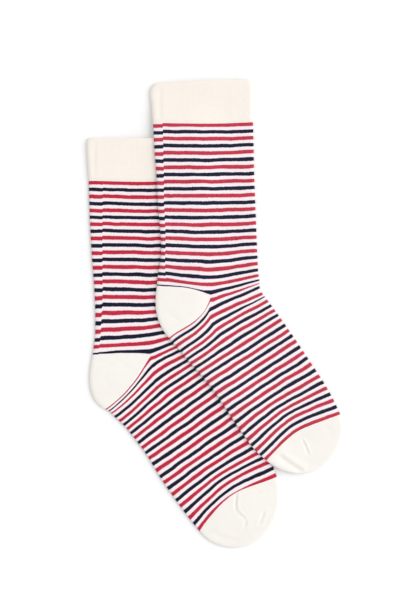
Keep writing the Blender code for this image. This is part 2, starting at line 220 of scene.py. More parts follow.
def along(line, distances):
    """Points at given distances along a line."""
    length = distances_along(line)
    return np.column_stack([np.interp(distances, length, line[:, axis]) for axis in (0, 1)])


def turn_curve(start, handles, end, count):
    """A smooth curve from start to end, drawn towards its two handles."""
    t = np.linspace(0, 1, count)[:, None]
    points = np.array((start, handles[0], handles[1], end))
    return ((1 - t)**3 * points[0] + 3 * t * (1 - t)**2 * points[1]
            + 3 * t**2 * (1 - t) * points[2] + t**3 * points[3])


def ease(x):
    """A smooth step from 0 to 1."""
    x = np.clip(x, 0, 1)
    return x * x * (3 - 2 * x)


upper_width = distances_along(course_line(UPPER_LEG, 12.0)[0])[-1]
print(f"the upper sock's leg is {upper_width:.1f} mm across at stripe 12")

# %% [markdown]
# ## Creases, swells and tucks
# Cloth that has been worn flat in a packet is never quite flat. Each crease is a short curve with a
# width and a depth: a soft trough with a low ridge beside it, as where knit has been pressed over. A
# swell is a broad mound where the cloth stands off itself, as at the domed heel and toe pockets. They
# are placed one by one, uneven in length and depth, on the sides that show and on those that don't.

# %% Tables of creases and swells
CREASE_COLUMNS = ("start_x", "start_y", "bend_x", "bend_y", "end_x", "end_y", "width", "depth")
SWELL_COLUMNS = ("x", "y", "reach", "stretch", "turn", "height")

UPPER_CREASES = (
    (55, -126.6, 68.5, -137, 80.5, -143.6, 2.6, 1.2),  # long one across the toe
    (77.6, -113, 81.8, -119.5, 83.8, -127.8, 1.2, 0.5),  # short one above it
    (96, -99, 103, -104, 106, -113, 3, 0.18),
    (48, 17, 36, 10.8, 23, 4.2, 1.5, 0.45),  # tucks at the front of the ankle
    (41.5, 30, 32, 27, 20, 23.2, 1.3, 0.3),
    (43, 22, 34, 17, 26, 15, 1.6, 0.22),
    (-34, 16.6, -28, 17.4, -21.5, 16.2, 1.8, 0.16),  # heel
    (-46, 4, -38, -6, -26, -7, 3.2, 0.2),
    (-18, 12, -26, 3, -30, -4, 2.6, 0.14),
    (-30, 62, 0, 55.5, 24, 60, 3.4, 0.12),  # leg
    (-41, 118, -18, 114, 8, 117, 4, 0.1),
    (-6, 40, 10, 36, 33, 43, 3, 0.16),
    (-36, 152, -14, 148, 20, 151, 4.2, 0.1),
    (8, -32, 22, -31, 40, -18, 3.4, 0.14),  # foot
    (40, -78, 54, -66, 74, -58, 3.8, 0.14),
    (-49.5, 205, -50.6, 190, -49.4, 173, 2, 0.22),  # cuff
    (8, 206, 10, 190, 7, 177, 3.6, 0.1),
)
UNDER_CREASES = (
    (19.6, -160, 17.2, -170, 18.8, -178, 1.4, 0.62),  # bent one down the toe
    (18, -176.8, 23, -182, 28, -185.6, 1.4, 0.55),
    (27, -184.6, 28.6, -189, 25, -193, 1.3, 0.38),
    (43.4, -176.6, 43, -184, 38.8, -190, 1.4, 0.45),
    (34.5, -158, 38, -160.4, 41.5, -162, 2, 0.34),
    (-4, -197, 8, -203.5, 24, -205, 2.6, 0.3),  # along the toe's lower rim
    (-89, -44.4, -80, -45, -73.5, -53, 2.4, 0.2),  # heel
    (-103, -56, -96, -66, -86, -70, 3.2, 0.2),
    (-68, -44, -76, -56, -82, -66, 2.8, 0.12),
    (-100, 62, -84, 58, -64, 61, 3.8, 0.12),  # leg
    (-98, 8, -80, 12, -62, 8, 3.4, 0.14),
    (-104, -12, -88, -16, -70, -12, 3, 0.14),
    (-60, -82, -52, -84, -38, -76, 3.4, 0.14),  # foot
    (-38, -138, -22, -130, -8, -118, 3.6, 0.16),
    (-18, -166, -6, -152, 10, -146, 3, 0.16),
    (-108, 156, -109.6, 140, -108.6, 122, 2, 0.2),  # cuff
)
UPPER_HIDDEN_CREASES = (
    (60, -124, 72, -134, 88, -138, 2.4, 0.5),
    (92, -104, 98, -114, 96, -124, 2, 0.36),
    (46, 14, 34, 9, 20, 6, 1.8, 0.4),
    (-40, 10, -32, 2, -24, -4, 2.4, 0.22),
    (20, 140, 24, 118, 21, 96, 3, 0.2),
    (30, -44, 48, -36, 62, -20, 3, 0.24),
)
UNDER_HIDDEN_CREASES = (
    (20, -158, 26, -170, 22, -184, 2.2, 0.5),
    (40, -160, 46, -170, 42, -182, 1.8, 0.36),
    (-92, -48, -84, -58, -88, -70, 2.4, 0.26),
    (-88, 96, -84, 70, -88, 44, 3, 0.2),
    (-32, -100, -18, -90, -2, -86, 2.8, 0.24),
    (-60, -40, -48, -34, -34, -32, 2, 0.3),
)
UPPER_SWELLS = (
    (-32, 1, 20, 1.2, 100, 0.28),
    (92, -116, 22, 1.2, -50, 1.3),
    (62, -124, 12, 1.6, -50, 0.08),
    (6, 40, 22, 1.6, 10, 0.3),
    (-14, 128, 30, 1.5, 85, 0.22),
    (30, -34, 24, 1.6, -50, 0.28),
    (66, -76, 20, 1.4, -50, 0.24),
    (-12, 190, 26, 1.3, 0, 0.18),
)
UNDER_SWELLS = (
    (-90, -60, 20, 1.2, 100, 0.32),
    (28, -180, 22, 1.2, -50, 0.62),
    (2, -186, 12, 1.5, -50, 0.3),
    (-84, 70, 22, 1.8, 90, 0.24),
    (-84, 0, 18, 1.5, 90, 0.24),
    (-56, -92, 18, 1.5, -50, 0.28),
    (-26, -136, 18, 1.5, -50, 0.24),
    (-92, 140, 18, 1.1, 0, 0.16),
)

# %% [markdown]
# A crease's height at a point depends on how far the point is from its curve, and on which side. The
# cross product of the curve's run and the way to the point tells the side.

# %% Height of the creases and swells
CREASE_POINTS = 17       # points along each crease's curve
RIDGE_SIDE = 1.7         # how many widths beside a trough its ridge lies
RIDGE_SHARE = 0.45       # and how high it is for the trough's depth
CREASE_FADE = 3.0        # widths over which a crease fades in at its ends
CREASE_END = 0.15        # how far it has faded in at its very end
SWELL_END = 1.6          # reaches from its middle at which a swell has died out


def crease_height(points, row):
    """Height of one crease at each point."""
    crease = dict(zip(CREASE_COLUMNS, row))
    t = np.linspace(0, 1, CREASE_POINTS)[:, None]
    start, bend, end = (np.array((crease[f"{k}_x"], crease[f"{k}_y"])) for k in ("start", "bend", "end"))
    curve = (1 - t)**2 * start + 2 * t * (1 - t) * bend + t**2 * end
    runs = np.diff(curve, axis=0)
    lengths = np.linalg.norm(runs, axis=1)
    offsets = points[:, None, :] - curve[None, :-1, :]
    share = np.clip((offsets * runs).sum(axis=2) / lengths**2, 0, 1)
    away = offsets - share[:, :, None] * runs
    distance = np.linalg.norm(away, axis=2)
    nearest = distance.argmin(axis=1)
    each = np.arange(len(points))
    side = runs[nearest, 0] * away[each, nearest, 1] - runs[nearest, 1] * away[each, nearest, 0]
    q = np.sign(side) * distance[each, nearest] / crease["width"]
    place = (nearest + share[each, nearest]) / len(runs)
    to_end = np.minimum(place, 1 - place) * lengths.sum() / (crease["width"] * CREASE_FADE)
    shape = RIDGE_SHARE * np.exp(-(np.abs(q) - RIDGE_SIDE)**2) * (q > 0) - np.exp(-q**2)
    return crease["depth"] * shape * ease(CREASE_END + to_end)


def swell_height(points, row):
    """Height of one broad swell at each point."""
    swell = dict(zip(SWELL_COLUMNS, row))
    turn = np.radians(swell["turn"])
    across = np.array((np.cos(turn), np.sin(turn)))
    up = np.array((-np.sin(turn), np.cos(turn)))
    offsets = points - np.array((swell["x"], swell["y"]))
    far = np.hypot(offsets @ across / swell["stretch"], offsets @ up) / swell["reach"]
    return swell["height"] * ease(1 - far / SWELL_END)


def near(points, rows, reach):
    """Which points lie inside the rows' own box, widened by a reach."""
    low = rows.min(axis=0) - reach
    high = rows.max(axis=0) + reach
    return ((points > low) & (points < high)).all(axis=1)


def add_up(points, rows, height, corners, reach):
    """The sum of many small shapes at each point, each worked out only near its own place."""
    total = np.zeros(len(points))
    for row in rows:
        inside = near(points, np.array(row)[corners].reshape(-1, 2), reach(row))
        total[inside] += height(points[inside], row)
    return total


def creases_at(points, rows):
    return add_up(points, rows, crease_height, slice(0, 6), lambda row: 5 * row[6])


def swells_at(points, rows):
    return add_up(points, rows, swell_height, slice(0, 2), lambda row: 2 * row[2] * row[3])


trial = creases_at(np.array(((68.0, -134.0), (0.0, 0.0))), UPPER_CREASES)
print(f"the long toe crease is {-trial[0]:.2f} mm deep near its middle")

# %% [markdown]
# ## What each sock lies on
# The under sock lies on the table. The upper sock lies partly on the under sock, so its underside is a
# drape: it follows the table, climbs in a soft ramp just outside the under sock's outline, and lies on
# top of it inside. The distance from a closed outline, with a sign for in or out, gives that shape.

# %% The socks' facts
UNDER_SOCK = dict(
    name="under_sock", cuff=UNDER_CUFF, leg=UNDER_LEG, foot=UNDER_FOOT,
    heel_turn=((-114.1, -51.8), (-117.3, -77.0)), toe_turn=((70.9, -204.7), (11.8, -228.7)),
    creases=UNDER_CREASES, hidden_creases=UNDER_HIDDEN_CREASES, swells=UNDER_SWELLS)
UPPER_SOCK = dict(
    name="upper_sock", cuff=UPPER_CUFF, leg=UPPER_LEG, foot=UPPER_FOOT,
    heel_turn=((-55.3, 8.5), (-54.1, -8.0)), toe_turn=((126.3, -123.5), (85.8, -163.9)),
    creases=UPPER_CREASES, hidden_creases=UPPER_HIDDEN_CREASES, swells=UPPER_SWELLS)


OUTLINE_ROWS = {"leg": 20, "foot": 24}    # courses whose ends are points of the outline
OUTLINE_TURNS = {"heel": 12, "toe": 20}   # points round a pocket's turn


def sock_outline(sock):
    """The flat sock's outline, as one closed ring of points."""
    cuff = [course_line(sock["cuff"], row[0])[0][[0, -1]] for row in sock["cuff"]]
    leg, foot = ([course_line(sock[part], course)[0][[0, -1]]
                  for course in np.linspace(start, end, OUTLINE_ROWS[part])]
                 for part, start, end in (("leg", LEG_TOP, HEEL_GAP), ("foot", HEEL_GAP, FOOT_END)))
    heel = turn_curve(leg[-1][0], sock["heel_turn"], foot[0][0], OUTLINE_TURNS["heel"])[1:-1]
    toe = turn_curve(foot[-1][1], sock["toe_turn"], foot[-1][0], OUTLINE_TURNS["toe"])[-2:0:-1]
    back = [pair[0] for pair in (*cuff, *leg)]
    sole = [pair[0] for pair in foot]
    front = [pair[1] for pair in (*cuff, *leg, *foot)]
    return np.array((*back, *heel, *sole, *toe, *front[::-1]))


CHUNK = 6000  # points worked on at a time, to keep the arrays small


def depth_inside(points, ring):
    """How far each point is inside a closed ring, negative outside it."""
    runs = np.roll(ring, -1, axis=0) - ring
    lengths = np.maximum((runs**2).sum(axis=1), 1e-9)
    found = []
    for part in np.array_split(points, len(points) // CHUNK + 1):
        offsets = part[:, None, :] - ring
        share = np.clip((offsets * runs).sum(axis=2) / lengths, 0, 1)
        nearest = np.linalg.norm(offsets - share[:, :, None] * runs, axis=2).min(axis=1)
        above = offsets[:, :, 1] < 0
        crosses = above != (offsets[:, :, 1] - runs[:, 1] < 0)
        side = offsets[:, :, 0] * runs[:, 1] - offsets[:, :, 1] * runs[:, 0]
        hits = crosses & ((side < 0) == (runs[:, 1] > 0))
        found.append(np.where(hits.sum(axis=1) % 2 == 1, nearest, -nearest))
    return np.concatenate(found)


UNDER_RING = sock_outline(UNDER_SOCK)
UPPER_RING = sock_outline(UPPER_SOCK)
ring_top = UPPER_RING[:, 1].max()
frame_top = box_mm("upper_sock_cuff")[1][1]
print(f"the outline's top is {ring_top:.1f} mm up the table, and the frame's {frame_top:.1f} mm")

# %% Floor and relief under and over each sock
RAMP_START = 42.0    # the upper sock leaves the table this far outside the under sock
RAMP_END = 1.2       # and is at its full height this far outside it
CUFF_EASE = 12.0     # length over which it comes down off the thicker cuff
PRESSED = 4.0        # the under sock's creases are pressed flat this far under the upper sock


def table_floor(points):
    return np.zeros(len(points))


def draped_floor(points):
    """Height of the upper sock's underside over the table and the under sock."""
    on_cuff = ease((points[:, 1] - UNDER_CUFF[-1][2] + CUFF_EASE) / CUFF_EASE)
    wall = CLOTH_WALL + (CUFF_WALL - CLOTH_WALL) * on_cuff
    full = HOLLOW + 2 * wall + SEAM_GAP
    depth = depth_inside(points, UNDER_RING)
    return full * ease((depth + RAMP_START) / (RAMP_START - RAMP_END))


def under_free(points):
    """1 where the under sock's top is free, down to 0 where the upper sock presses on it."""
    return 1 - ease(depth_inside(points, UPPER_RING) / PRESSED)


def under_relief(points):
    return (creases_at(points, UNDER_CREASES) + swells_at(points, UNDER_SWELLS)) * under_free(points)


def upper_free(points):
    return np.ones(len(points))


def upper_relief(points):
    return creases_at(points, UPPER_CREASES) + swells_at(points, UPPER_SWELLS)


UNDER_SOCK.update(floor=table_floor, relief=under_relief, free=under_free)
UPPER_SOCK.update(floor=draped_floor, relief=upper_relief, free=upper_free)

# %% [markdown]
# ## Columns and the rolled fold
# Every course gets the same number of columns, close together where the cloth rolls over at the two
# folded edges and evenly spread between. The knee is always the same column, so that the heel and toe
# pockets, which start at the knee, meet the tube point for point with no gap to see through.

# %% Columns across a flat course
HALF_COLUMNS = 56    # from a folded edge to the knee
ROLL_COLUMNS = 7     # of these, on the rolled edge
EDGE_ROLL = 3.6      # how far in from an edge the cloth rolls over


def half_stations(length):
    """Distances from a fold to the knee."""
    roll = EDGE_ROLL * (1 - np.cos(np.linspace(0, np.pi / 2, ROLL_COLUMNS + 1)))
    return np.concatenate((roll[:-1], np.linspace(EDGE_ROLL, length, HALF_COLUMNS - ROLL_COLUMNS + 1)))


def course_halves(table, course, inset):
    """A course's back half from fold to knee and its front half from fold to knee.

    The inset moves the folds in: it is the cloth's thickness for the inner side.
    """
    line, knee = course_line(table, course)
    halves = []
    for half in (line[:knee + 1], line[knee:][::-1]):
        length = distances_along(half)[-1]
        stations = half_stations(length)
        halves.append(along(half, inset + stations * (1 - inset / length)))
    return halves


HEEL_BLEND = 1.5     # stripes over which leg and foot lines are brought together at the ankle
KNEE_PULL = 6        # how sharply the pull on a back half fades away from the knee


def sock_halves(sock, part, course, inset=0.0):
    """Both halves of a course, with the leg's and the foot's last lines made to agree."""
    halves = course_halves(sock[part], course, inset)
    if part == "cuff" or abs(course - HEEL_GAP) > HEEL_BLEND:
        return halves
    leg = course_halves(sock["leg"], HEEL_GAP, inset)
    foot = course_halves(sock["foot"], HEEL_GAP, inset)
    own, other = (leg, foot) if part == "leg" else (foot, leg)
    weight = 0.5 * ease(1 - abs(course - HEEL_GAP) / HEEL_BLEND)
    share = np.linspace(0, 1, HALF_COLUMNS + 1)[:, None]
    pull = other[0][-1] - own[0][-1]
    return [halves[0] + weight * share**KNEE_PULL * pull, halves[1] + weight * (other[1] - own[1])]


# Columns round the whole tube: over the top from back to front, then back underneath.
ACROSS = np.concatenate((np.arange(2 * HALF_COLUMNS + 1), np.arange(2 * HALF_COLUMNS - 1, 0, -1)))
SIDE = np.where(np.arange(4 * HALF_COLUMNS) <= 2 * HALF_COLUMNS, 1.0, -1.0)
print(f"{len(ACROSS)} columns round each sock")

# %% [markdown]
# ## Height of the cloth
# From the fold the cloth rises in a quarter of an oval to its full height. Where two pieces are linked
# together it dips a little, as a row of linking stitches draws it in. The inner side is the same shape,
# with only the air inside it.

# %% Heights of the outer and inner sides
SEAM_DIP = 0.16      # how much a linked seam draws the cloth in
SEAM_REACH = 1.1     # how far from the seam
DEEPEST_INSIDE = 0.3  # a crease goes no deeper than this on the inner side


def cloth_points(sock, plan, from_fold, from_seam, side, wall, inside=False):
    """The plan's points with their heights, on the outer or the inner side of the cloth."""
    flat = plan.reshape(-1, 2)
    shape = plan.shape[:-1]
    roll = np.sqrt(1 - (1 - np.clip(from_fold / EDGE_ROLL, 0, 1))**2)
    over = sock["relief"](flat).reshape(shape)
    below = -creases_at(flat, sock["hidden_creases"]).reshape(shape)
    below = np.clip(below, 0, None)
    if inside:
        reach = HOLLOW / 2
        over = np.maximum(over, -DEEPEST_INSIDE)
        below = np.minimum(below, DEEPEST_INSIDE / 2)
    else:
        reach = HOLLOW / 2 + wall - SEAM_DIP * np.exp(-(from_seam / SEAM_REACH)**2)
    middle = sock["floor"](flat).reshape(shape) + HOLLOW / 2 + wall
    height = middle + side * reach * roll + np.where(side > 0, over, below) * roll**2
    return np.concatenate((plan, height[..., None]), axis=-1)


# %% [markdown]
# ## Joining grids into one wall of cloth
# A piece is one closed mesh: an outer grid, a coarser inner grid, and narrow strips that join their
# edges. Numbers that the finish will need, such as how far down the stripes a point is, are kept on the
# points, so a stripe follows the knitting wherever the cloth goes. Each grid and strip is also unrolled
# flat into an area of its own in a UV map, given as left, bottom, right and top.

# %% A small mesh builder
WELD = 1e-6          # metres; points closer than this become one
SHARP = np.radians(50)  # faces that meet more sharply than this keep a crisp edge


def new_object(name, data):
    """An object for some data, in the scene."""
    made = bpy.data.objects.new(name, data)
    bpy.context.scene.collection.objects.link(made)
    return made


class Cloth:
    """Grids of points, in millimetres, that become one mesh with named numbers on its points."""

    def __init__(self):
        self.points = []
        self.numbers = {}
        self.quads = []
        self.places = []
        self.count = 0

    def grid(self, points, numbers, area, closed=False):
        """Adds rows of points and the faces between them, and returns the points' indices."""
        shape = points.shape[:2]
        index = self.count + np.arange(shape[0] * shape[1]).reshape(shape)
        self.count = index[-1, -1] + 1
        self.points.append(points.reshape(-1, 3))
        for name, values in numbers.items():
            self.numbers.setdefault(name, []).append(np.broadcast_to(values, shape).ravel())
        self.join(index[:-1], index[1:], area, closed)
        return index

    def join(self, first, second, area, closed=False):
        """Adds faces between rows of indices and the rows after them, unrolled into an area."""
        first = np.atleast_2d(first)
        second = np.atleast_2d(second)
        rows = first.shape[0]
        columns = first.shape[1] if closed else first.shape[1] - 1
        quads = np.stack((first, np.roll(first, -1, 1), np.roll(second, -1, 1), second), axis=-1)
        self.quads.append(quads[:, :columns].reshape(-1, 4))
        left, bottom, right, top = area
        u = np.linspace(left, right, columns + 1)
        v = np.linspace(bottom, top, rows + 1)
        place = np.empty((rows, columns, 4, 2))
        for corner, (column, row) in enumerate(((0, 0), (1, 0), (1, 1), (0, 1))):
            place[:, :, corner, 0] = u[column:column + columns]
            place[:, :, corner, 1] = v[row:row + rows, None]
        self.places.append(place.reshape(-1, 2))

    def make(self, name):
        """The finished mesh object: welded, with its faces pointing out."""
        data = bpy.data.meshes.new(name)
        data.from_pydata(np.concatenate(self.points) * MM, [], np.concatenate(self.quads).tolist())
        for number, values in self.numbers.items():
            layer = data.attributes.new(number, "FLOAT", "POINT")
            layer.data.foreach_set("value", np.concatenate(values).astype(np.float32))
        unrolled = data.uv_layers.new(name="OFBake")
        unrolled.data.foreach_set("uv", np.concatenate(self.places).astype(np.float32).ravel())
        mesh = bmesh.new()
        mesh.from_mesh(data)
        bmesh.ops.remove_doubles(mesh, verts=mesh.verts[:], dist=WELD)
        bmesh.ops.recalc_face_normals(mesh, faces=mesh.faces[:])
        open_edges = sum(not edge.is_manifold for edge in mesh.edges)
        mesh.to_mesh(data)
        mesh.free()
        data.shade_smooth()
        data.set_sharp_from_angle(angle=SHARP)
        print(f"{name}: {len(data.polygons)} faces, {open_edges} open edges")
        return new_object(name, data)


# %% [markdown]
# ## Where the stripes sit
# A spiral of yarn can't close on itself, so at the start of each round the stripes step down. On the
# leg this step is a line just in front of the back fold. Behind it the stripes sit lower, and under the
# sock they creep back up to meet the front. A few stripes are also thin for a stretch: those gathered
# beside the heel, pulled into the ankle's tuck or caught in the toe's seam.

# %% Tables for the stripes
BAND = 0.262         # half the width of a coloured band, in stripe steps
STEP_LENGTH = 6.4    # one step, coloured and white, in millimetres
WALES = 84           # columns of stitches on each side of the sock
STITCHES_PER_STEP = 10
OWN_STRIPE = 0.49    # a point's stripe number stays this close to its own stripe's, in steps
DROP_FADE = 0.6      # the drop fades out over this share of the back half, up to the knee
HIDDEN_RUN = 90      # from the back fold to the front one underneath, in millimetres, near enough

# The step's line: the course, its place across and how far the stripes drop behind it.
UPPER_SOCK["jog"] = ((0.75, -47.2, 0.20), (8, -46.2, 0.21), (12, -46.1, 0.21), (16, -44.7, 0.22),
                     (18, -44.7, 0.22), (20, -45.1, 0.22), (22, -45.0, 0.18), (23, -44.0, 0.09),
                     (24, -43.0, 0.04))
UNDER_SOCK["jog"] = ((0.75, -101.2, 0.08), (8, -101.6, 0.13), (12, -101.6, 0.17), (16, -101.4, 0.19),
                     (18, -101.7, 0.22), (20, -102.5, 0.22), (22, -103.5, 0.20), (23, -104.4, 0.14),
                     (24, -105.2, 0.12))

# For a stripe that isn't plain: (place across, half width, how far it is moved) along its line, where
# the place is -1 at the back fold, 0 at the knee and 1 at the front fold. Past the last place, the
# stripe stays as it is there.
PLAIN = ((0, BAND, 0),)
UPPER_SOCK["stripes"] = {
    23: ((-1, 0.34, 0), (-0.6, 0.30, 0), (-0.2, BAND, 0)),
    24: ((-1, 0.17, 0.32), (-0.3, 0.15, 0.33), (-0.16, 0.20, 0.22), (0, 0.28, 0.02), (0.7, 0.25, 0),
         (1, 0.21, 0.04)),
    25: ((-1, 0.17, -0.33), (-0.5, 0.15, -0.35), (-0.36, 0.09, -0.40), (-0.18, 0.09, -0.40),
         (-0.08, 0.16, -0.26), (0.08, 0.25, 0), (0.6, 0.24, 0), (0.82, 0.18, 0), (1, 0.15, 0)),
    26: ((-1, 0.29, -0.14), (-0.7, 0.31, -0.26), (-0.3, 0.32, -0.30), (-0.06, 0.28, -0.10),
         (0.1, BAND, 0), (1, 0.24, 0)),
    27: ((-1, 0.28, -0.08), (-0.3, 0.29, -0.12), (0, BAND, 0)),
    28: ((0.30, BAND, 0), (0.55, 0.24, 0), (0.75, 0.19, 0), (1, 0.15, 0)),
    49: ((0, BAND, 0.03),),
}
UNDER_SOCK["stripes"] = {
    23: ((-1, 0.29, 0), (-0.5, BAND, 0)),
    24: ((-1, 0.17, 0.22), (-0.85, 0.20, 0.27), (-0.6, 0.27, 0.19), (-0.25, 0.28, 0.14), (0, 0.28, 0.02),
         (1, BAND, 0)),
    25: ((-1, 0.17, -0.33), (-0.5, 0.15, -0.35), (-0.2, 0.17, -0.33), (-0.04, 0.22, -0.16),
         (0.08, BAND, 0), (1, 0.25, 0)),
    26: ((-1, 0.20, -0.40), (-0.6, 0.20, -0.52), (-0.3, 0.25, -0.40), (0, BAND, -0.06), (1, BAND, 0)),
    27: ((-1, 0.22, -0.30), (-0.6, 0.26, -0.34), (-0.3, 0.28, -0.20), (0, BAND, 0)),
    28: ((-1, 0.29, -0.10), (-0.6, 0.29, -0.12), (-0.3, BAND, -0.06), (0, BAND, 0)),
    47: ((-1, BAND, 0), (-0.1, BAND, 0.08), (0.2, BAND, 0.08), (0.6, BAND, 0)),
    48: ((-1, BAND, 0), (-0.5, BAND, 0.05), (-0.1, BAND, 0.19), (0.2, BAND, 0.19), (0.6, BAND, 0.05),
         (1, BAND, 0)),
    49: ((-1, BAND, 0.02), (-0.55, 0.24, 0.05), (-0.27, 0.15, 0.12), (0, 0.10, 0.19), (0.18, 0.10, 0.19),
         (0.46, 0.20, 0.09), (0.65, 0.25, 0.04), (1, BAND, 0.02)),
}


def stripe_numbers(sock, part, courses, plan, place, share):
    """The stripe coordinate, the band's half width and the spiral step at each point of a tube."""
    numbers = np.arange(1, 25) if part == "leg" else np.arange(25, 50)
    centres, widths = [], []
    for number in numbers:
        spots, half, moved = np.array(sock["stripes"].get(number, PLAIN)).T
        centres.append(number + np.interp(place, spots, moved))
        widths.append(np.interp(place, spots, half))
    widths = np.array(widths)
    off = courses[:, None] - np.array(centres)
    own = (np.abs(off) - widths).argmin(axis=0)[None]
    stripe = numbers[own[0]] + np.clip(np.take_along_axis(off, own, 0)[0], -OWN_STRIPE, OWN_STRIPE)
    band = np.take_along_axis(widths, own, 0)[0]
    jog = np.array(sock["jog"]).T
    jog_x = np.interp(courses, jog[0], jog[1])[:, None]
    drop = np.interp(courses, jog[0], jog[2])[:, None]
    over = SIDE > 0
    behind = np.where(over, jog_x - plan[..., 0], jog_x - plan[:, :1, 0] + share * HIDDEN_RUN)
    drop = drop * np.where(over, ease(-place / DROP_FADE), 1 - share) * (part == "leg")
    return dict(stripe=stripe, band=band, behind=behind, drop=drop)


# %% [markdown]
# ## The striped tube
# The leg and foot are one tube, knitted without a break. At the heel the back half of the tube stops,
# and the heel pocket fills the gap; the front half runs on. So the mesh has a slit there: leg rows and
# foot rows share their front points and part on the back half.

# %% Rows of a tube
KNEE_FADE = 0.12     # share of a line beside the knee over which the heel's and toe's seams fade out
ROWS_PER_STEP = 6    # mesh rows in one stripe step, outside
FINE_ROWS = 14       # the same beside the heel, where thin stripes crowd together
FINE_REACH = 2.5     # in steps
INNER_ROWS = 1       # on the inner side
PART_WIDTH = 0.48    # width of the leg's and the foot's areas in the UV map


def tube_courses(start, end, inside):
    """The courses at which a tube has mesh rows."""
    rows = INNER_ROWS if inside else ROWS_PER_STEP
    courses = np.linspace(start, end, int(round((end - start) * rows)) + 1)
    if inside:
        return courses
    fine = np.linspace(HEEL_GAP - FINE_REACH, HEEL_GAP + FINE_REACH, int(2 * FINE_REACH * FINE_ROWS) + 1)
    rough = courses[np.abs(courses - HEEL_GAP) > FINE_REACH]
    return np.sort(np.concatenate((rough, fine[(fine >= start) & (fine <= end)])))


def tube_rows(sock, part, courses, walls, inside=False):
    """Points round the tube at each course, with where each lies across it."""
    plan, from_fold, place, share = [], [], [], []
    for course, wall in zip(courses, walls):
        back, front = sock_halves(sock, part, course, wall if inside else 0.0)
        back_run = distances_along(back)
        front_run = distances_along(front)[::-1]
        places = back_run / back_run[-1] - 1, 1 - front_run[1:] / front_run[0]
        across = np.concatenate((back_run, back_run[-1] + front_run[0] - front_run[1:]))
        plan.append(np.concatenate((back, front[-2::-1]))[ACROSS])
        from_fold.append(np.concatenate((back_run, front_run[1:]))[ACROSS])
        place.append(np.concatenate(places)[ACROSS])
        share.append((across / across[-1])[ACROSS])
    return [np.array(found) for found in (plan, from_fold, place, share)]


def seam_distance(courses, place):
    """Millimetres from each point to the nearest seam of the tube."""
    from_ends = np.minimum(np.abs(courses - LEG_TOP), np.abs(courses - FOOT_END))[:, None]
    past_heel = np.abs(courses - HEEL_GAP)[:, None] + 2 * (1 - ease(-place / KNEE_FADE))
    return STEP_LENGTH * np.minimum(from_ends, past_heel)


def stitch_numbers(courses, share):
    """Counts of stitches across and down the cloth."""
    return dict(wale=WALES * share, row=STITCHES_PER_STEP * np.repeat(courses[:, None], len(ACROSS), 1))


# The columns of the back half: underneath from the knee to the back fold, then over it to the knee.
BACK = np.concatenate((np.arange(3 * HALF_COLUMNS, 4 * HALF_COLUMNS), np.arange(HALF_COLUMNS + 1)))


def striped_tube(sock):
    """The leg and foot as one closed wall, with a slit for the heel pocket."""
    cloth = Cloth()
    for part, start, end, left in (("leg", LEG_TOP, HEEL_GAP, 0.01), ("foot", HEEL_GAP, FOOT_END, 0.51)):
        right = left + PART_WIDTH
        grids = []
        for inside in (False, True):
            courses = tube_courses(start, end, inside)
            walls = np.full(len(courses), CLOTH_WALL)
            plan, from_fold, place, share = tube_rows(sock, part, courses, walls, inside)
            from_seam = seam_distance(courses, place)
            points = cloth_points(sock, plan, from_fold, from_seam, SIDE, CLOTH_WALL, inside)
            numbers = stripe_numbers(sock, part, courses, plan, place, share)
            numbers.update(stitch_numbers(courses, share))
            area = (left, 0.01, right, 0.07) if inside else (left, 0.11, right, 0.99)
            grids.append(cloth.grid(points, numbers, area, closed=True))
        outer, inner = grids
        rim, slit = (0, -1) if part == "leg" else (-1, 0)
        cloth.join(outer[rim], inner[rim], (left, 0.08, right, 0.085), closed=True)
        cloth.join(outer[slit][BACK], inner[slit][BACK], (left, 0.095, right, 0.10))
    return cloth.make(f"{sock['name']}_striped_knit")


# %% [markdown]
# ## Heel and toe pockets
# A pocket is knitted back and forth in rows that shorten and lengthen again, so that the flat cloth
# turns a corner. Laid flat it is a fan: rays run from the knee to a rounded outline, blended between
# the two lines where it joins the tube. Its stitches run along those two lines and meet in a mitre
# down the middle, as they do in the short rows.

# %% The fan of a pocket
STITCH_LENGTH = STEP_LENGTH / STITCHES_PER_STEP
STITCH_WIDTH = 1.09
TRIAL_POINTS = 60    # points on a pocket's outline to measure its length
RAY_SPACING = 1.1    # between rays at the outline, outside
INNER_RAYS = 5       # outer rays to each one on the inner side
END_POWER = 8        # how late the inner outline comes back to its two lines, which are already set in


def pocket_rays(first, last, outline):
    """Lines from the knee to the outline, fanned between the pocket's two bounding lines."""
    shares = [(distances_along(line) / distances_along(line)[-1])[:, None] for line in (first, last)]
    rays = []
    for a, rim in zip(np.linspace(0, 1, len(outline)), outline):
        s = (1 - a) * shares[0] + a * shares[1]
        rays.append((1 - a) * first + a * last + s * (rim - (1 - a) * first[-1] - a * last[-1]))
    return np.array(rays)


